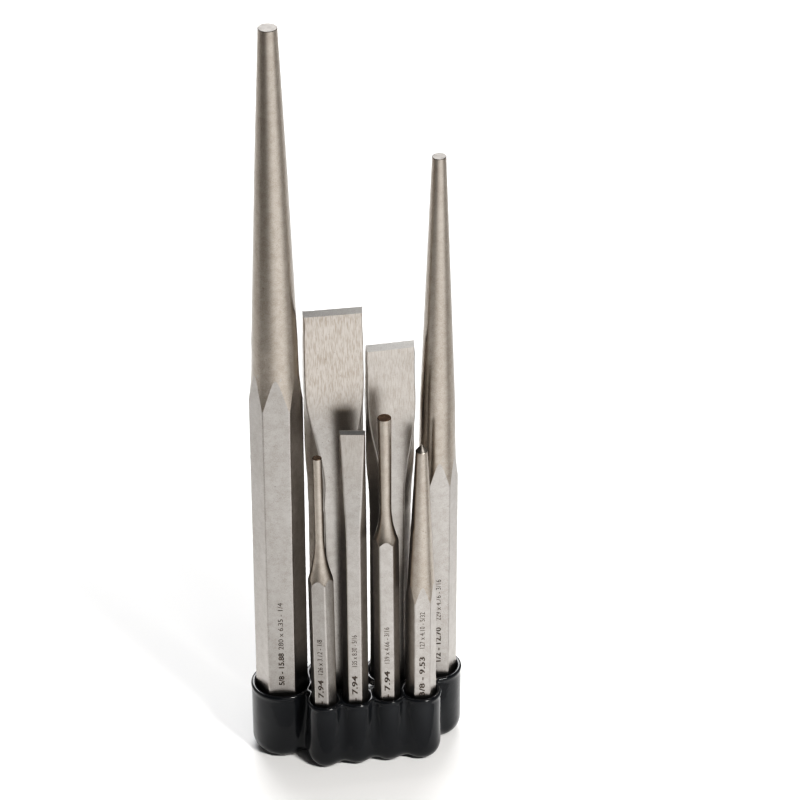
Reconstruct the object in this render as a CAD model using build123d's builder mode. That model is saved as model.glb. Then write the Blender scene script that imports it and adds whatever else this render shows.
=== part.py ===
from build123d import *
import math
import os

os.makedirs("parts", exist_ok=True)

# A set of eight punches and cold chisels standing in a dip-moulded vinyl holder.
# Millimetres, +Z up, +X along the row, -Y towards the front.
# The origin is under the middle of the holder's footprint.

INCH = 25.4

# Holder: eight round pockets moulded in one block.
HOLDER_HEIGHT = 27.4
POCKET_FLOOR = 3.0          # vinyl under the end of each tool
POCKET_WALL = 1.5           # vinyl round each pocket
POCKET_CLEARANCE = 0.2      # between a bar's corners and its pocket
POCKET_END_RADIUS = 1.2     # rounded corner at the bottom of each pocket
VALLEY_RADIUS = 1.0         # where two neighbouring pockets meet
BOTTOM_RADIUS = 3.8         # rounded lower edge of the block
RIM_RADIUS = 0.7            # rounded upper edge of the block
MOUTH_RADIUS = 0.45         # rounded mouth of each pocket

# Hexagonal bar the tools are made from, measured across the flats.
HEX_5_8 = 5 / 8 * INCH
HEX_1_2 = 1 / 2 * INCH
HEX_3_8 = 3 / 8 * INCH
HEX_5_16 = 5 / 16 * INCH
HEX_CORNER = 0.8            # softening of the bar's six edges

STRUCK_FACE = 0.72          # struck end's flat face, as a share of half the bar
STRUCK_SLOPE = 1.1          # height of the struck end's chamfer over its width

# Pocket centres are measured from the large long punch. The rear row holds the two long
# punches with the two wide chisels between them, and the front row the four small tools.
FRONT_ROW = -13.4
CHISEL_SETBACK = 1.0

# Each tool: bar, place of its pocket along and across the row, turn of its flats about
# its own axis, and lean of its pocket towards +X, both in degrees.
TOOLS = {
    "long_punch_large": (HEX_5_8, 0.0, 0.0, -7.8, 0.0),
    "chisel_large": (HEX_5_8, 19.6, CHISEL_SETBACK, -0.9, 0.0),
    "chisel_medium": (HEX_1_2, 38.7, 0.0, 2.0, 0.0),
    "long_punch_small": (HEX_1_2, 55.0, 0.0, -2.6, 0.0),
    "centre_punch": (HEX_3_8, 47.2, FRONT_ROW, -3.5, 0.0),
    "pin_punch_medium": (HEX_5_16, 35.5, FRONT_ROW, -7.8, -0.4),
    "chisel_small": (HEX_5_16, 24.2, FRONT_ROW, -11.0, -0.25),
    "pin_punch_small": (HEX_5_16, 13.2, FRONT_ROW, -21.5, -0.7),
}

# Turned tools: overall length, tip radius, then points down the taper or the root of the
# pin, and where the run-out arc reaches the bar's corners, as (radius, height above the
# struck end).
LONG_LARGE_LENGTH = 280.3
LONG_LARGE_TIP = 1 / 8 * INCH
LONG_LARGE_TAPER = [(5.25, 232.0), (7.05, 184.0), (7.72, 165.0), (7.85, 157.0)]
LONG_LARGE_RUN_OUT = (9.4, 139.5)

LONG_SMALL_LENGTH = 229.3
LONG_SMALL_TIP = 3 / 32 * INCH
LONG_SMALL_TAPER = [(6.05, 134.0), (6.22, 118.0)]
LONG_SMALL_RUN_OUT = (7.5, 102.5)

CENTRE_LENGTH = 127.1
CENTRE_TIP = 2.05
CENTRE_POINT_HEIGHT = 2.4
CENTRE_TAPER = [(4.72, 72.0)]
CENTRE_RUN_OUT = (5.65, 62.5)

PIN_MEDIUM_LENGTH = 139.4
PIN_MEDIUM_TIP = 2.33
PIN_MEDIUM_ROOT = [(2.05, 103.5)]
PIN_MEDIUM_RUN_OUT = (4.7, 89.0)

PIN_SMALL_LENGTH = 125.9
PIN_SMALL_TIP = 1.56
PIN_SMALL_ROOT = [(1.56, 94.5)]
PIN_SMALL_RUN_OUT = (4.7, 75.0)

TIP_BREAK = 0.15            # edge break round a flat tip

# Blades, by height above the struck end: where the bar starts to draw out, where the blade
# has its full width, where the ground bevels begin and where they meet. face, side and thick
# are half the blade's front width, full width and thickness at the bevels, and how much each
# grows for every millimetre up the blade.
LARGE_BLADE = {"start": 98.0, "face_delay": 12.0, "side_shoulder": 126.0, "shoulder": 146.0,
               "root": 172.8, "edge": 174.7,
               "face": (9.9, -0.004), "side": (10.0, -0.004), "thick": (1.25, -0.07)}
MEDIUM_BLADE = {"start": 94.0, "face_delay": 8.0, "side_shoulder": 118.0, "shoulder": 138.0,
                "root": 158.1, "edge": 160.2,
                "face": (8.1, -0.008), "side": (8.2, -0.008), "thick": (1.3, -0.075)}
SMALL_BLADE = {"start": 90.0, "face_delay": 0.0, "side_shoulder": 108.0, "shoulder": 108.0,
               "root": 134.2, "edge": 135.5,
               "face": (4.05, 0.042), "side": (4.4, -0.006), "thick": (0.85, -0.065)}
BLADE_STEPS = 9
EDGE_FLAT = 0.12            # width left on the cutting edge


def corner_radius(across_flats):
    """Distance from a bar's axis to its softened corners."""
    half = across_flats / 2
    return (half - HEX_CORNER) / math.cos(math.radians(30)) + HEX_CORNER


def pocket_radius(name):
    """Radius of a tool's round pocket."""
    return corner_radius(TOOLS[name][0]) + POCKET_CLEARANCE


def footprint_middle():
    """Middle of the block's footprint, measured from the large long punch."""
    reach = [(x, y, pocket_radius(name) + POCKET_WALL) for name, (bar, x, y, *rest) in TOOLS.items()]
    left = min(x - r for x, y, r in reach)
    right = max(x + r for x, y, r in reach)
    front = min(y - r for x, y, r in reach)
    back = max(y + r for x, y, r in reach)
    return (left + right) / 2, (front + back) / 2


MIDDLE_X, MIDDLE_Y = footprint_middle()


def pocket_centre(name):
    """Pocket centre in the part's frame."""
    bar, x, y, turn, lean = TOOLS[name]
    return x - MIDDLE_X, y - MIDDLE_Y


def seat(name):
    """Plane on a pocket's floor: its Z runs up the tool, and -Y faces out of the front flat."""
    bar, x, y, turn, lean = TOOLS[name]
    centre_x, centre_y = pocket_centre(name)
    return Plane(Location((centre_x, centre_y, POCKET_FLOOR), (0, lean, turn)))


def radial(plane):
    """Plane through a tool's axis: X is the radius and Y the height."""
    return Plane(plane.origin, x_dir=plane.x_dir, z_dir=-plane.y_dir)


def spin(plane, outline, mode):
    """Revolve an outline drawn on a radial plane about the tool's axis."""
    revolve(outline, axis=Axis(plane.origin, plane.z_dir), mode=mode)


def hex_section(plane, face, side, thick):
    """Outline of a bar or blade: front and back flats `face` either way of the middle, side
    corners at `side`, half as thick as the flats are apart, and all six corners softened."""
    corners = [(side, 0), (face, thick), (-face, thick), (-side, 0), (-face, -thick), (face, -thick)]
    soft = min(HEX_CORNER * 0.58, thick * 0.3)
    before = []
    after = []
    for index, corner in enumerate(corners):
        point = Vector(*corner)
        last = Vector(*corners[index - 1])
        following = Vector(*corners[(index + 1) % 6])
        before.append(point + (last - point).normalized() * soft)
        after.append(point + (following - point).normalized() * soft)
    with BuildSketch(plane) as section:
        with BuildLine():
            for index, corner in enumerate(corners):
                Bezier(before[index], corner, after[index])
                Line(after[index], before[(index + 1) % 6])
        make_face()
    return section.sketch


def turned_tool(name, length, tip, taper, run_out):
    """Hexagonal bar turned down at one end: a point or flat tip given from the top down as
    (radius, depth), a taper or pin, and an arc that runs out on the bar's flats."""
    bar = TOOLS[name][0]
    plane = seat(name)
    with BuildSketch(plane) as section:
        RegularPolygon(bar / 2, 6, major_radius=False)
        fillet(section.vertices(), HEX_CORNER)
    extrude(section.sketch, amount=length)
    face = STRUCK_FACE * bar / 2
    clear = run_out[0]
    down = [(radius, length - depth) for radius, depth in tip] + taper
    with BuildSketch(radial(plane)) as envelope:
        with BuildLine():
            Polyline([(0, length)] + down)
            TangentArc(down[-1], run_out, tangent=Vector(*down[-1]) - Vector(*down[-2]))
            Polyline([run_out, (clear, (clear - face) * STRUCK_SLOPE), (face, 0), (0, 0), (0, length)])
        make_face()
    spin(plane, envelope.sketch, Mode.INTERSECT)


def flat_tip(radius):
    """A flat tip with its edge broken."""
    return [(radius - TIP_BREAK, 0), (radius, TIP_BREAK)]


def ease(share):
    """Smooth step from 0 to 1."""
    share = min(max(share, 0), 1)
    return share * share * (3 - 2 * share)


def chisel(name, blade):
    """Hexagonal bar drawn out to a flat blade and ground from both sides to a straight edge."""
    bar = TOOLS[name][0]
    plane = seat(name)
    half = bar / 2
    flat = half * math.tan(math.radians(30))
    corner = half / math.cos(math.radians(30))
    struck = STRUCK_FACE * half

    def size(height, before, root_size, widening, start, shoulder):
        """Half-size that leaves the bar smoothly and joins the blade's straight taper."""
        straight = root_size - widening * (blade["root"] - height)
        return straight + (before - straight) * (1 - ease((height - start) / (shoulder - start)))

    def blade_section(height):
        start = blade["start"]
        face = size(height, flat, *blade["face"], start + blade["face_delay"], blade["shoulder"])
        side = size(height, corner, *blade["side"], start, blade["side_shoulder"])
        thick = size(height, half, *blade["thick"], start, blade["shoulder"])
        return hex_section(plane.offset(height), face, side, thick)

    extrude(hex_section(plane, flat, corner, half), amount=blade["start"])
    with BuildSketch(radial(plane)) as envelope:
        with BuildLine():
            chamfer_top = (corner - struck) * STRUCK_SLOPE
            Polyline((0, 0), (struck, 0), (corner, chamfer_top), (corner, blade["start"]),
                     (0, blade["start"]), close=True)
        make_face()
    spin(plane, envelope.sketch, Mode.INTERSECT)
    rise = blade["root"] - blade["start"]
    loft([blade_section(blade["start"] + rise * step / BLADE_STEPS) for step in range(BLADE_STEPS + 1)])

    width = blade["side"][0]
    with BuildSketch(plane.offset(blade["root"])) as ground_root:
        Rectangle(2 * width, 2 * blade["thick"][0])
    with BuildSketch(plane.offset(blade["edge"])) as ground_edge:
        Rectangle(2 * width, EDGE_FLAT)
    wedge = loft([ground_root.sketch, ground_edge.sketch], mode=Mode.PRIVATE)
    tip_height = blade["edge"] - blade["root"]
    add(wedge & extrude(blade_section(blade["root"]), amount=tip_height, mode=Mode.PRIVATE))


def finish(part, name):
    """Label a finished tool or holder and write it out."""
    part.label = name
    export_step(part, f"parts/{name}.step")


# ---------------------------------------------------------------- holder

with BuildPart() as holder:
    with BuildSketch() as block:
        with BuildLine():
            Polyline([pocket_centre(name) for name in TOOLS], close=True)
        make_face()
        for name in TOOLS:
            with Locations(pocket_centre(name)):
                Circle(pocket_radius(name) + POCKET_WALL)
        offset(amount=VALLEY_RADIUS, kind=Kind.ARC)
        offset(amount=-VALLEY_RADIUS, kind=Kind.ARC)
    extrude(amount=HOLDER_HEIGHT)
    fillet(holder.faces().sort_by(Axis.Z)[0].edges(), BOTTOM_RADIUS)
    fillet(holder.faces().sort_by(Axis.Z)[-1].edges(), RIM_RADIUS)
    for name in TOOLS:
        radius = pocket_radius(name)
        rim = HOLDER_HEIGHT - POCKET_FLOOR
        mouth = radius + MOUTH_RADIUS
        with BuildSketch(radial(seat(name))) as pocket:
            with BuildLine():
                Polyline((0, 0), (0, HOLDER_HEIGHT), (mouth, HOLDER_HEIGHT), (mouth, rim))
                RadiusArc((mouth, rim), (radius, rim - MOUTH_RADIUS), -MOUTH_RADIUS)
                Line((radius, rim - MOUTH_RADIUS), (radius, POCKET_END_RADIUS))
                RadiusArc((radius, POCKET_END_RADIUS), (radius - POCKET_END_RADIUS, 0), POCKET_END_RADIUS)
                Line((radius - POCKET_END_RADIUS, 0), (0, 0))
            make_face()
        spin(seat(name), pocket.sketch, Mode.SUBTRACT)
finish(holder.part, "holder")


# ---------------------------------------------------------------- punches

with BuildPart() as long_punch_large:
    turned_tool("long_punch_large", LONG_LARGE_LENGTH, flat_tip(LONG_LARGE_TIP),
                LONG_LARGE_TAPER, LONG_LARGE_RUN_OUT)
finish(long_punch_large.part, "long_punch_large")

with BuildPart() as long_punch_small:
    turned_tool("long_punch_small", LONG_SMALL_LENGTH, flat_tip(LONG_SMALL_TIP),
                LONG_SMALL_TAPER, LONG_SMALL_RUN_OUT)
finish(long_punch_small.part, "long_punch_small")

with BuildPart() as centre_punch:
    turned_tool("centre_punch", CENTRE_LENGTH, [(0.15, 0), (CENTRE_TIP, CENTRE_POINT_HEIGHT)],
                CENTRE_TAPER, CENTRE_RUN_OUT)
finish(centre_punch.part, "centre_punch")

with BuildPart() as pin_punch_medium:
    turned_tool("pin_punch_medium", PIN_MEDIUM_LENGTH, flat_tip(PIN_MEDIUM_TIP),
                PIN_MEDIUM_ROOT, PIN_MEDIUM_RUN_OUT)
finish(pin_punch_medium.part, "pin_punch_medium")

with BuildPart() as pin_punch_small:
    turned_tool("pin_punch_small", PIN_SMALL_LENGTH, flat_tip(PIN_SMALL_TIP),
                PIN_SMALL_ROOT, PIN_SMALL_RUN_OUT)
finish(pin_punch_small.part, "pin_punch_small")


# ---------------------------------------------------------------- cold chisels

with BuildPart() as chisel_large:
    chisel("chisel_large", LARGE_BLADE)
finish(chisel_large.part, "chisel_large")

with BuildPart() as chisel_medium:
    chisel("chisel_medium", MEDIUM_BLADE)
finish(chisel_medium.part, "chisel_medium")

with BuildPart() as chisel_small:
    chisel("chisel_small", SMALL_BLADE)
finish(chisel_small.part, "chisel_small")
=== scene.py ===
import math

import bpy
import numpy as np
from mathutils import Matrix, Vector


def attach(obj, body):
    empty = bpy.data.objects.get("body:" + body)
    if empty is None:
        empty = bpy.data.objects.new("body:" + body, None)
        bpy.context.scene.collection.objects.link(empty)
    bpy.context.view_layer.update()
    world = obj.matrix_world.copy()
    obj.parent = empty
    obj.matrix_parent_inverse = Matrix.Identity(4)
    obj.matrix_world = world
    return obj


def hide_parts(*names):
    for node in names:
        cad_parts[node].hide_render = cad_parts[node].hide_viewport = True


# A set of eight punches and cold chisels in a dip-moulded vinyl holder.
# Metres and +Z up, as in the CAD frame. Tables of the object's own sizes are in millimetres.

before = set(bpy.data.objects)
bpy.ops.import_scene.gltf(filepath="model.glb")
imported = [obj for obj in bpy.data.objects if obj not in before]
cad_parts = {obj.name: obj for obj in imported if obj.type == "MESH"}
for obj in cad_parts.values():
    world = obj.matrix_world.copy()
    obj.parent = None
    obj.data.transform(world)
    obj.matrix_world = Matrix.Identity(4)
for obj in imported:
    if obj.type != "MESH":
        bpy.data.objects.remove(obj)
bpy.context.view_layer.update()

MM = 0.001
INCH = 25.4

# Each tool: bar across the flats, place of its pocket along and across the row, turn of its
# flats about its own axis and lean towards +X in degrees, as in the CAD part.
TOOLS = {
    "long_punch_large": (5 / 8 * INCH, 0.0, 0.0, -7.8, 0.0),
    "chisel_large": (5 / 8 * INCH, 19.6, 1.0, -0.9, 0.0),
    "chisel_medium": (1 / 2 * INCH, 38.7, 0.0, 2.0, 0.0),
    "long_punch_small": (1 / 2 * INCH, 55.0, 0.0, -2.6, 0.0),
    "centre_punch": (3 / 8 * INCH, 47.2, -13.4, -3.5, 0.0),
    "pin_punch_medium": (5 / 16 * INCH, 35.5, -13.4, -7.8, -0.4),
    "chisel_small": (5 / 16 * INCH, 24.2, -13.4, -11.0, -0.25),
    "pin_punch_small": (5 / 16 * INCH, 13.2, -13.4, -21.5, -0.7),
}
MIDDLE = (26.583, -4.367)   # of the holder's footprint, measured from the large long punch
HOLDER_HEIGHT = 27.4
POCKET_FLOOR = 3.0
POCKET_WALL = 1.5
POCKET_CLEARANCE = 0.2
POCKET_END_RADIUS = 1.2
HEX_CORNER = 0.8
FOOT_INSET = 3.8            # bottom edge: how far in its rounding starts, and how far up it ends
FOOT_RISE = 5.6
RIM_RADIUS = 0.72
LIP = 0.22                  # how far the rim stands out over the wall
LIP_RISE = 2.4
WEB_BLEND = 2.2             # rounding where two pockets run together at the rim
WEB_BLEND_FOOT = 5.0        # and at the foot
WEB_BLEND_START = 2.0       # height where the rounding starts to change, and how far below
WEB_BLEND_STOP = 1.0        # the rim it has finished
WEB_DIP = 1.3               # how far the web between pockets sinks below their rims
WEB_EDGE = (1.2, 3.0)       # distance from the nearest wall over which the dip comes in
VOXEL = 0.5
SLOPE_STEP = 0.02           # step for measuring the field's slope


def pocket_radius(name):
    half = TOOLS[name][0] / 2
    return (half - HEX_CORNER) / math.cos(math.radians(30)) + HEX_CORNER + POCKET_CLEARANCE


def pocket_centre(name):
    return TOOLS[name][1] - MIDDLE[0], TOOLS[name][2] - MIDDLE[1]


def smooth_step(x, low, high):
    t = np.clip((x - low) / (high - low), 0, 1)
    return t * t * (3 - 2 * t)


# ---------------------------------------------------------------- holder

def smooth_union(a, b, blend):
    """The nearer of two surfaces, with a fillet where they meet."""
    h = np.maximum(blend - np.abs(a - b), 0) / blend
    return np.minimum(a, b) - h * h * blend / 4


def polygon_distance(x, y, corners):
    """Signed distance to a closed polygon, negative inside."""
    nearest = np.full(x.shape, 1e9)
    inside = np.zeros(x.shape, bool)
    for (ax, ay), (bx, by) in zip(corners, corners[1:] + corners[:1]):
        ex, ey = bx - ax, by - ay
        t = np.clip(((x - ax) * ex + (y - ay) * ey) / (ex * ex + ey * ey), 0, 1)
        nearest = np.minimum(nearest, np.hypot(x - ax - t * ex, y - ay - t * ey))
        crosses = (ay > y) != (by > y)
        with np.errstate(divide="ignore", invalid="ignore"):
            inside ^= crosses & (x < ax + ex * (y - ay) / (ey if ey else 1e-9))
    return np.where(inside, -nearest, nearest)


def holder_field(p):
    """Distance-like field of the holder, in millimetres: zero on its skin, negative inside."""
    x, y, z = p[:, 0], p[:, 1], p[:, 2]
    blend = WEB_BLEND_FOOT + (WEB_BLEND - WEB_BLEND_FOOT) * smooth_step(
        z, WEB_BLEND_START, HOLDER_HEIGHT - WEB_BLEND_STOP)
    wall = polygon_distance(x, y, [pocket_centre(name) for name in TOOLS])
    hole = np.full(x.shape, 1e9)
    for name in TOOLS:
        cx, cy = pocket_centre(name)
        radius = pocket_radius(name)
        wall = smooth_union(wall, np.hypot(x - cx, y - cy) - radius - POCKET_WALL, blend)
        lean = math.tan(math.radians(TOOLS[name][4])) * (z - POCKET_FLOOR)
        out = np.hypot(x - cx - lean, y - cy) - radius + POCKET_END_RADIUS
        down = POCKET_FLOOR + POCKET_END_RADIUS - z
        pocket = np.hypot(np.maximum(out, 0), np.maximum(down, 0)) + np.minimum(np.maximum(out, down), 0)
        hole = np.minimum(hole, pocket - POCKET_END_RADIUS)
    web = smooth_step(np.minimum(hole, -wall), *WEB_EDGE)
    top = z - HOLDER_HEIGHT + WEB_DIP * web
    wall = wall - LIP * smooth_step(z, HOLDER_HEIGHT - LIP_RISE, HOLDER_HEIGHT - RIM_RADIUS)
    across = np.maximum(wall / FOOT_INSET + 1, 0)
    below = np.maximum(1 - z / FOOT_RISE, 0)
    body = np.hypot(across, below) + np.minimum(np.maximum(wall / FOOT_INSET + 1, 1 - z / FOOT_RISE), 0)
    faces = np.stack([(body - 1) * FOOT_INSET, top, -hole]) + RIM_RADIUS
    return np.minimum(faces.max(0), 0) + np.sqrt((np.maximum(faces, 0) ** 2).sum(0)) - RIM_RADIUS


def skin(field, low, high, step):
    """Closed mesh of a field's zero level, with one vertex in each cell that it crosses."""
    counts = [int(math.ceil((h - l) / step)) + 1 for l, h in zip(low, high)]
    axes = [l + step * np.arange(n) for l, n in zip(low, counts)]
    grid = np.stack(np.meshgrid(*axes, indexing="ij"), -1)
    value = field(grid.reshape(-1, 3)).reshape(counts)
    inside = value < 0
    cells = tuple(n - 1 for n in counts)
    total = np.zeros(cells + (3,))
    hits = np.zeros(cells)
    edges = []
    for axis in range(3):
        first = [slice(None)] * 3
        second = [slice(None)] * 3
        first[axis], second[axis] = slice(0, -1), slice(1, None)
        a, b = value[tuple(first)], value[tuple(second)]
        crossed = (a < 0) != (b < 0)
        where = np.argwhere(crossed)
        share = (a / np.where(crossed, a - b, 1))[crossed]
        point = grid[tuple(where.T)].copy()
        point[:, axis] += share * step
        edges.append((axis, where, (a < 0)[crossed]))
        others = [k for k in range(3) if k != axis]
        for i in (0, 1):
            for j in (0, 1):
                cell = where.copy()
                cell[:, others[0]] -= i
                cell[:, others[1]] -= j
                ok = (cell >= 0).all(1) & (cell < np.array(cells)).all(1)
                np.add.at(total, tuple(cell[ok].T), point[ok])
                np.add.at(hits, tuple(cell[ok].T), 1)
    used = hits > 0
    index = np.full(cells, -1)
    index[used] = np.arange(used.sum())
    vertices = total[used] / hits[used][:, None]
    quads = []
    for axis, where, low_inside in edges:
        others = [k for k in range(3) if k != axis]
        loop = []
        for i, j in ((0, 0), (1, 0), (1, 1), (0, 1)):
            cell = where.copy()
            cell[:, others[0]] -= i
            cell[:, others[1]] -= j
            ok = (cell >= 0).all(1) & (cell < np.array(cells)).all(1)
            loop.append(np.where(ok, index[tuple(np.clip(cell, 0, np.array(cells) - 1).T)], -1))
        quad = np.stack(loop, 1)
        flip = low_inside if axis == 1 else ~low_inside
        quad[flip] = quad[flip][:, ::-1]
        quads.append(quad[(quad >= 0).all(1)])
    for _ in range(4):
        here = field(vertices)
        steps = np.eye(3) * SLOPE_STEP
        slope = np.stack([field(vertices + e) - field(vertices - e) for e in steps], 1) / (2 * SLOPE_STEP)
        size = np.maximum((slope ** 2).sum(1), 0.2)
        vertices = vertices - np.clip(here / size, -0.3, 0.3)[:, None] * slope
    return vertices, np.concatenate(quads)


def mesh_object(name, vertices, faces):
    mesh = bpy.data.meshes.new(name)
    mesh.from_pydata([tuple(v) for v in vertices], [], [tuple(f) for f in faces])
    mesh.validate()
    piece = bpy.data.objects.new(name, mesh)
    bpy.context.scene.collection.objects.link(piece)
    return piece


reach = [(pocket_centre(name), pocket_radius(name) + POCKET_WALL) for name in TOOLS]
low = (min(c[0] - r for c, r in reach) - 1, min(c[1] - r for c, r in reach) - 1, -1)
high = (max(c[0] + r for c, r in reach) + 1, max(c[1] + r for c, r in reach) + 1, HOLDER_HEIGHT + 1)
vertices, quads = skin(holder_field, low, high, VOXEL)
vertices[:, 2] = np.maximum(vertices[:, 2], 0)
moulding = mesh_object("vinyl_moulding", vertices * MM, quads.tolist())
moulding.data.shade_smooth()
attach(moulding, "holder")
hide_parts("holder")


# ---------------------------------------------------------------- material helpers

class Nodes:
    """Short calls for building one material's node tree."""

    def __init__(self, name):
        self.material = bpy.data.materials.new(name)
        self.material.use_nodes = True
        self.tree = self.material.node_tree
        self.shader = self.tree.nodes["Principled BSDF"]

    def add(self, kind, settings=None, **inputs):
        """New node. An input goes by its label, or as i0, i1 and so on by its place."""
        node = self.tree.nodes.new(kind)
        for key, value in (settings or {}).items():
            setattr(node, key, value)
        for key, value in inputs.items():
            by_place = key[0] == "i" and key[1:].isdigit()
            self.put(node.inputs[int(key[1:]) if by_place else key.replace("_", " ")], value)
        return node

    def put(self, socket, value):
        if isinstance(value, bpy.types.NodeSocket):
            self.tree.links.new(value, socket)
        else:
            socket.default_value = value

    def math(self, operation, a, b=0.0):
        return self.add("ShaderNodeMath", {"operation": operation}, i0=a, i1=b).outputs[0]

    def ramp(self, value, low, high, start=0.0, end=1.0):
        """Smooth step from start to end as value goes from low to high."""
        node = self.add("ShaderNodeMapRange", {"interpolation_type": "SMOOTHSTEP"}, i0=value, i1=low, i2=high,
                        i3=start, i4=end)
        return node.outputs[0]

    def mix(self, share, a, b):
        node = self.add("ShaderNodeMix", {"data_type": "RGBA"})
        self.put(node.inputs[0], share)
        self.put(node.inputs[6], a)
        self.put(node.inputs[7], b)
        return node.outputs[2]

    def noise(self, place, scale, detail=2.0, rough=0.5, stretch=None):
        if stretch:
            scaled = self.add("ShaderNodeVectorMath", {"operation": "MULTIPLY"}, i0=place, i1=stretch)
            place = scaled.outputs[0]
        node = self.add("ShaderNodeTexNoise", Vector=place, Scale=scale, Detail=detail, Roughness=rough)
        return node.outputs[0]


def colour(r, g, b):
    return (r, g, b, 1.0)


# ---------------------------------------------------------------- steel

BLASTED = colour(0.43, 0.408, 0.385)
BLASTED_DARK = colour(0.335, 0.31, 0.285)
TURNED = colour(0.43, 0.388, 0.342)
TURNED_DARK = colour(0.33, 0.288, 0.245)
GROUND = colour(0.49, 0.45, 0.41)
STREAK = colour(0.36, 0.315, 0.27)
BEVEL = colour(0.40, 0.392, 0.384)
PAINTED_SHADE_END = colour(0.125, 0.117, 0.109)    # painted shade: darker than the steel, to hold down the softbox that lies in its mirror line
# painted shade: the centre punch's point is darker than the steel, to hold down the softbox's glint on it
POINT = colour(0.20, 0.185, 0.17)
# dark brown end faces at the tips of the pin punches
DARK_BROWN_END = colour(0.12, 0.09, 0.07)


def steel(name, turned_from=None, streak_from=None, bevel_from=None, end_from=None, end_colour=None,
          streak_share=1.0):
    """Fine blasted tool steel. Heights are in metres above the floor the holder stands on:
    turned_from is where a pin or long taper starts, streak_from where grinding streaks are at full strength,
    bevel_from where the ground edge starts and end_from where a flat end face starts."""
    n = Nodes("steel_" + name)
    place = n.add("ShaderNodeTexCoord").outputs["Object"]
    height = n.add("ShaderNodeSeparateXYZ", Vector=place).outputs["Z"]
    normal = n.add("ShaderNodeSeparateXYZ", Vector=n.add("ShaderNodeTexCoord").outputs["Normal"]).outputs["Z"]
    grain = n.noise(place, 3600, 2, 0.55)
    mottle = n.noise(place, 420, 3, 0.55)
    cloud = n.noise(place, 60, 2, 0.5)
    spots = n.noise(place, 1300, 2, 0.5)
    tone = n.math("ADD", n.math("MULTIPLY", grain, 0.55), n.math("MULTIPLY", mottle, 0.30))
    tone = n.math("ADD", tone, n.math("MULTIPLY", cloud, 0.15))
    shade = n.ramp(tone, 0.36, 0.62)
    base = n.mix(shade, BLASTED_DARK, BLASTED)
    rough = n.ramp(mottle, 0.3, 0.7, 0.33, 0.30)
    bump = n.math("ADD", grain, n.math("MULTIPLY", spots, 0.12))
    pits = n.ramp(spots, 0.70, 0.76)

    turned = n.ramp(normal, 0.012, 0.034)
    if turned_from is not None:
        turned = n.math("MAXIMUM", turned, n.ramp(height, turned_from - 0.0005, turned_from + 0.0005))
    if bevel_from is None:
        base = n.mix(turned, base, n.mix(shade, TURNED_DARK, TURNED))
        rough = n.math("SUBTRACT", rough, n.math("MULTIPLY", turned, 0.02))
    else:
        streaks = n.noise(place, 3400, 3, 0.6, stretch=(1.0, 1.0, 0.06))
        share = n.math("MULTIPLY", n.ramp(height, streak_from - 0.022, streak_from), streak_share)
        worn = n.mix(n.ramp(streaks, 0.38, 0.60), STREAK, GROUND)
        base = n.mix(share, base, worn)
        bump = n.math("ADD", bump, n.math("MULTIPLY", n.math("MULTIPLY", streaks, share), 1.4))
        edge = n.math("MULTIPLY", n.ramp(height, bevel_from - 0.00005, bevel_from + 0.00005),
                      n.ramp(normal, 0.10, 0.16))
        base = n.mix(edge, base, n.mix(n.ramp(grain, 0.35, 0.65), colour(0.34, 0.334, 0.328), BEVEL))
    base = n.mix(n.math("MULTIPLY", pits, 0.5), base, colour(0.13, 0.12, 0.11))
    # End faces take end_colour: painted shade, darker than the steel, on the long punches' ends and the
    # centre punch's point; dark brown on the pin punches.
    if end_from is not None:
        end = n.math("MULTIPLY", n.ramp(height, end_from, end_from + 0.0001), n.ramp(normal, 0.3, 0.55))
        end_face_colour = n.mix(n.ramp(n.noise(place, 700, 2, 0.5), 0.45, 0.6), end_colour,
                       tuple(0.8 * c for c in end_colour[:3]) + (1.0,))
        base = n.mix(end, base, end_face_colour)
        rough = n.math("ADD", rough, n.math("MULTIPLY", end, 0.2))
    relief = n.add("ShaderNodeBump", Strength=0.16, Distance=0.00004, Height=bump).outputs[0]
    n.put(n.shader.inputs["Base Color"], base)
    n.put(n.shader.inputs["Metallic"], 1.0)
    n.put(n.shader.inputs["Roughness"], rough)
    n.put(n.shader.inputs["Normal"], relief)
    return n.material


def up_tool(height):
    """Height above the floor of a place measured up a tool from its struck end."""
    return (POCKET_FLOOR + height) * MM


# Steel finish of each tool, and the end colours, which are painted shade on the long punches' ends and the
# centre punch's point
FINISHES_AND_END_SHADE = {
    "long_punch_large": dict(turned_from=up_tool(155.0), end_from=up_tool(280.0), end_colour=PAINTED_SHADE_END),
    "long_punch_small": dict(turned_from=up_tool(117.0), end_from=up_tool(229.0), end_colour=PAINTED_SHADE_END),
    "centre_punch": dict(turned_from=up_tool(72.0), end_from=up_tool(124.7), end_colour=POINT),
    "pin_punch_medium": dict(turned_from=up_tool(96.0), end_from=up_tool(139.0), end_colour=DARK_BROWN_END),
    "pin_punch_small": dict(turned_from=up_tool(88.0), end_from=up_tool(125.5), end_colour=DARK_BROWN_END),
    "chisel_large": dict(streak_from=up_tool(150.0), bevel_from=up_tool(172.8)),
    "chisel_medium": dict(streak_from=up_tool(140.0), bevel_from=up_tool(158.1), streak_share=0.55),
    "chisel_small": dict(streak_from=up_tool(130.0), bevel_from=up_tool(134.2), streak_share=0.4),
}
for name, finish_and_shade in FINISHES_AND_END_SHADE.items():
    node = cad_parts[name]
    node.data.materials.clear()
    node.data.materials.append(steel(name, **finish_and_shade))


# ---------------------------------------------------------------- vinyl

VINYL_DARK = colour(0.0065, 0.0075, 0.0095)
VINYL_LIGHT = colour(0.010, 0.0115, 0.014)


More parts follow.
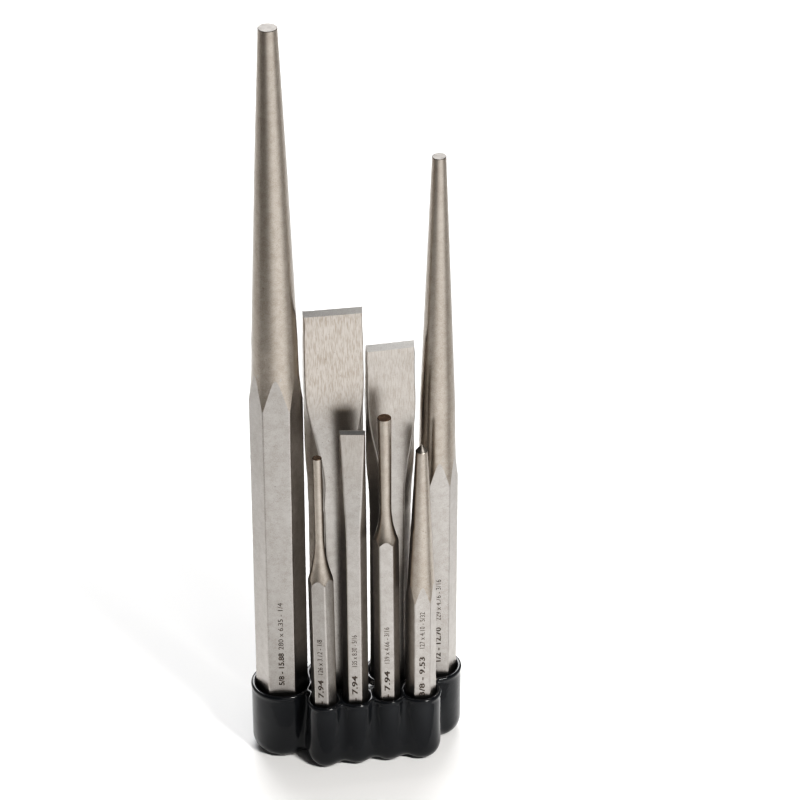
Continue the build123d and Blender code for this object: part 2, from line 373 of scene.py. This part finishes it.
def vinyl():
    n = Nodes("black_vinyl")
    place = n.add("ShaderNodeTexCoord").outputs["Object"]
    ripple = n.noise(place, 140, 2, 0.5)
    dust = n.noise(place, 2600, 2, 0.6)
    n.put(n.shader.inputs["Base Color"], n.mix(ripple, VINYL_DARK, VINYL_LIGHT))
    n.put(n.shader.inputs["Roughness"], n.ramp(n.noise(place, 500, 3, 0.6), 0.3, 0.8, 0.13, 0.22))
    n.put(n.shader.inputs["IOR"], 1.5)
    n.put(n.shader.inputs["Specular IOR Level"], 0.36)
    bump = n.math("ADD", n.math("MULTIPLY", ripple, 3.0), n.math("MULTIPLY", dust, 0.05))
    relief = n.add("ShaderNodeBump", Strength=0.25, Distance=0.0002, Height=bump).outputs[0]
    n.put(n.shader.inputs["Normal"], relief)
    return n.material


moulding.data.materials.append(vinyl())


# ---------------------------------------------------------------- etched sizes

def ink():
    n = Nodes("etched_mark")
    place = n.add("ShaderNodeTexCoord").outputs["Object"]
    n.put(n.shader.inputs["Base Color"], n.mix(n.ramp(n.noise(place, 1800, 2, 0.6), 0.4, 0.65),
                                               colour(0.022, 0.016, 0.012), colour(0.075, 0.055, 0.042)))
    n.put(n.shader.inputs["Roughness"], 0.6)
    return n.material


ETCH = ink()
MARK_RELIEF = 0.03          # thickness of a mark, and how far it is sunk in the flat
MARK_SINK = 0.005
BOLD_SIZE, BOLD_WEIGHT = 2.6, 0.07
LIGHT_SIZE, LIGHT_WEIGHT = 2.5, 0.0


def mark(name, label, text, height, length, size, heavy):
    """Numbers up the front flat, reading upwards: from `height` above the floor, squeezed to `length`."""
    bar, x, y, turn, lean = TOOLS[name]
    centre_x, centre_y = pocket_centre(name)
    curve = bpy.data.curves.new(f"{name}_{label}", "FONT")
    curve.body = text
    curve.size = size * MM
    curve.extrude = MARK_RELIEF / 2 * MM
    curve.offset = heavy * MM
    curve.align_y = "CENTER"
    curve.resolution_u = 3
    scratch = bpy.data.objects.new("scratch", curve)
    bpy.context.scene.collection.objects.link(scratch)
    bpy.context.view_layer.update()
    mesh = bpy.data.meshes.new_from_object(scratch.evaluated_get(bpy.context.evaluated_depsgraph_get()))
    bpy.data.objects.remove(scratch)
    piece = bpy.data.objects.new(f"{name}_{label}", mesh)
    bpy.context.scene.collection.objects.link(piece)
    along = np.array([v.co.x for v in mesh.vertices])
    stretch = length * MM / (along.max() - along.min())
    fit = Matrix.Translation((-along.min() * stretch, 0, 0)) @ Matrix.Diagonal((stretch, 1, 1, 1))
    out = bar / 2 + MARK_RELIEF / 2 - MARK_SINK
    upright = Matrix(((0, -1, 0, 0), (0, 0, -1, -out * MM), (1, 0, 0, 0), (0, 0, 0, 1)))
    seat = (Matrix.Translation(Vector((centre_x, centre_y, POCKET_FLOOR)) * MM)
            @ Matrix.Rotation(math.radians(lean), 4, "Y") @ Matrix.Rotation(math.radians(turn), 4, "Z"))
    mesh.transform(seat @ Matrix.Translation((0, 0, (height - POCKET_FLOOR) * MM)) @ upright @ fit)
    mesh.materials.clear()
    mesh.materials.append(ETCH)
    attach(piece, name)


# Tool: heavy figures, then light figures above them, each with its start and length up the flat.
MARKS = {
    "long_punch_large": (("5/8 - 15.88", 31.0, 14.0), ("280 x 6.35 - 1/4", 46.5, 20.0)),
    "long_punch_small": (("1/2 - 12.70", 33.0, 15.0), ("229 x 4.76 - 3/16", 51.0, 17.5)),
    "centre_punch": (("3/8 - 9.53", 27.8, 17.0), ("127 x 4.10 - 5/32", 48.5, 15.5)),
    "pin_punch_medium": (("- 7.94", 28.0, 11.6), ("139 x 4.66 - 3/16", 43.0, 15.5)),
    "chisel_small": (("- 7.94", 28.0, 11.0), ("135 x 8.30 - 5/16", 43.0, 13.5)),
    "pin_punch_small": (("- 7.94", 28.0, 10.5), ("126 x 3.12 - 1/8", 41.0, 15.0)),
}
for name, (bold, light) in MARKS.items():
    mark(name, "bar_size", bold[0], bold[1], bold[2], BOLD_SIZE, BOLD_WEIGHT)
    mark(name, "tip_size", light[0], light[1], light[2], LIGHT_SIZE, LIGHT_WEIGHT)


# ---------------------------------------------------------------- floor, light and camera

floor = mesh_object("floor", [(-4, -4, 0), (4, -4, 0), (4, 4, 0), (-4, 4, 0)], [(0, 1, 2, 3)])
paper = Nodes("paper")
spot = paper.add("ShaderNodeTexCoord").outputs["Object"]
paper_tone = paper.mix(paper.noise(spot, 900, 2, 0.5), colour(0.86, 0.86, 0.86), colour(0.88, 0.88, 0.88))
paper.put(paper.shader.inputs["Base Color"], paper_tone)
paper.put(paper.shader.inputs["Roughness"], 0.75)
floor.data.materials.append(paper.material)


# Painted reflection: a glowing sheet that stands in for the tabletop in front of the object as its
# steel mirrors it: brightest to the right of the camera and falling away to the left and with
# distance, with painted shade where it is dim. Only reflections see it. Its levels were fitted to
# tones read off the photograph, so they are not known from the room.
REFLECTION_HALF = 1.5
REFLECTION_FRONT = -1.6
REFLECTION_BACK = -0.024
REFLECTION_HEIGHT = 0.0004
reflection_sheet_corners = [(-REFLECTION_HALF, REFLECTION_FRONT, REFLECTION_HEIGHT), (REFLECTION_HALF, REFLECTION_FRONT, REFLECTION_HEIGHT),
                 (REFLECTION_HALF, REFLECTION_BACK, REFLECTION_HEIGHT), (-REFLECTION_HALF, REFLECTION_BACK, REFLECTION_HEIGHT)]
reflection_sheet = mesh_object("painted_table_reflection", reflection_sheet_corners, [(0, 1, 2, 3)])
sheen = Nodes("painted_reflection_glow")
spot = sheen.add("ShaderNodeSeparateXYZ", Vector=sheen.add("ShaderNodeTexCoord").outputs["Object"]).outputs
back = sheen.math("MULTIPLY", spot[1], -1.0)
turn = sheen.math("ARCTAN2", spot[0], back)
squares = sheen.math("ADD", sheen.math("POWER", spot[0], 2.0), sheen.math("POWER", back, 2.0))
away = sheen.math("SQRT", squares)
dim = sheen.ramp(away, 0.20, 0.42, 0.95, 0.34)
rise = sheen.ramp(turn, math.radians(-48), math.radians(14))
level = sheen.math("ADD", dim, sheen.math("MULTIPLY", rise, sheen.math("SUBTRACT", 1.65, dim)))
level = sheen.math("MULTIPLY", level, sheen.ramp(turn, math.radians(32), math.radians(75), 1.0, 0.38))
# painted shade: the reflected sheet is dimmer right next to the holder
level = sheen.math("MULTIPLY", level, sheen.ramp(away, 0.03, 0.065, 0.45, 1.0))
emitter = sheen.add("ShaderNodeEmission", Strength=level)
sheen.tree.links.new(emitter.outputs[0], sheen.tree.nodes["Material Output"].inputs["Surface"])
reflection_sheet.data.materials.append(sheen.material)
reflection_sheet.visible_camera = False
reflection_sheet.visible_diffuse = False
reflection_sheet.visible_shadow = False


def direction(azimuth, elevation):
    """Unit vector from the object towards a place seen at that azimuth and elevation."""
    a, e = math.radians(azimuth), math.radians(elevation)
    return Vector((math.sin(a) * math.cos(e), -math.cos(a) * math.cos(e), math.sin(e)))


def lamp(name, azimuth, elevation, distance, size, power, tint=(1, 1, 1), target=(0, 0, 0.09)):
    data = bpy.data.lights.new(name, "AREA")
    data.shape = "RECTANGLE"
    data.size, data.size_y = size
    data.energy = power
    data.color = tint
    piece = bpy.data.objects.new(name, data)
    towards = direction(azimuth, elevation)
    piece.location = Vector(target) + towards * distance
    piece.rotation_euler = towards.to_track_quat("Z", "Y").to_euler()
    bpy.context.scene.collection.objects.link(piece)
    return piece


lamp("softbox", 172, 58, 0.90, (0.8, 0.5), 12.5, (1.0, 1.0, 1.0), (0.0, 0.30, 0.0))
lamp("glint", 6, 58, 1.3, (0.10, 0.16), 0.7, (1.0, 0.98, 0.95))


def pool(name, place, target, width, power, tint):
    """A soft spot that lights a patch of the floor."""
    data = bpy.data.lights.new(name, "SPOT")
    data.energy = power
    data.color = tint
    data.spot_size = math.radians(width)
    data.spot_blend = 1.0
    data.shadow_soft_size = 0.08
    piece = bpy.data.objects.new(name, data)
    piece.location = place
    piece.rotation_euler = (Vector(place) - Vector(target)).to_track_quat("Z", "Y").to_euler()
    bpy.context.scene.collection.objects.link(piece)


pool("front_pool", (0.30, -0.50, 0.62), (0.06, -0.14, 0.0), 46, 30.0, (1.0, 0.98, 0.95))

world = bpy.data.worlds.new("studio")
world.use_nodes = True
bpy.context.scene.world = world
tree = world.node_tree
background = tree.nodes["Background"]
way = tree.nodes.new("ShaderNodeTexCoord").outputs["Generated"]


def glow(base, patches):
    """Brightness by direction: a base level and soft patches of (azimuth, elevation, spread, level)."""
    total = None
    for azimuth, elevation, spread, level in patches:
        dot = tree.nodes.new("ShaderNodeVectorMath")
        dot.operation = "DOT_PRODUCT"
        tree.links.new(way, dot.inputs[0])
        dot.inputs[1].default_value = direction(azimuth, elevation)
        step = tree.nodes.new("ShaderNodeMapRange")
        step.interpolation_type = "SMOOTHSTEP"
        tree.links.new(dot.outputs["Value"], step.inputs[0])
        step.inputs[1].default_value = math.cos(math.radians(spread))
        step.inputs[2].default_value = 1.0
        step.inputs[3].default_value = 0.0
        step.inputs[4].default_value = level
        add = tree.nodes.new("ShaderNodeMath")
        add.operation = "ADD"
        tree.links.new(step.outputs[0], add.inputs[0])
        if total is None:
            add.inputs[1].default_value = base
        else:
            tree.links.new(total, add.inputs[1])
        total = add.outputs[0]
    return total


# Soft light from behind and from both sides, and a fainter patch beside the camera.
ROOM_BASE = 0.02
ROOM_PATCHES = [(180, 20, 60, 1.0), (105, 6, 45, 0.55), (-110, 6, 45, 0.5), (8, 30, 32, 0.30)]
tree.links.new(glow(ROOM_BASE, ROOM_PATCHES), background.inputs["Strength"])
background.inputs["Color"].default_value = (1.0, 1.0, 1.0, 1.0)

CAMERA_PLACE = (-154.4, -975.0, 779.7)
CAMERA_SIDE = (-9.845, 32.764)      # azimuth and elevation that it looks from, in degrees
CAMERA_LENS = 157.93
TONES = ((0.02, 0.009), (0.06, 0.031), (0.18, 0.150), (0.45, 0.45))     # deeper shadows

camera = bpy.data.objects.new("camera", bpy.data.cameras.new("camera"))
camera.data.lens = CAMERA_LENS
camera.data.sensor_width = 36.0
camera.data.clip_start = 0.05
camera.data.clip_end = 50.0
camera.location = Vector(CAMERA_PLACE) * MM
camera.rotation_euler = direction(*CAMERA_SIDE).to_track_quat("Z", "Y").to_euler()
bpy.context.scene.collection.objects.link(camera)
bpy.context.scene.camera = camera
views = bpy.context.scene.view_settings
views.view_transform = "Standard"
views.use_curve_mapping = True
tone_curve = views.curve_mapping.curves[3]
for level_in, level_out in TONES:
    tone_curve.points.new(level_in, level_out)
views.curve_mapping.update()
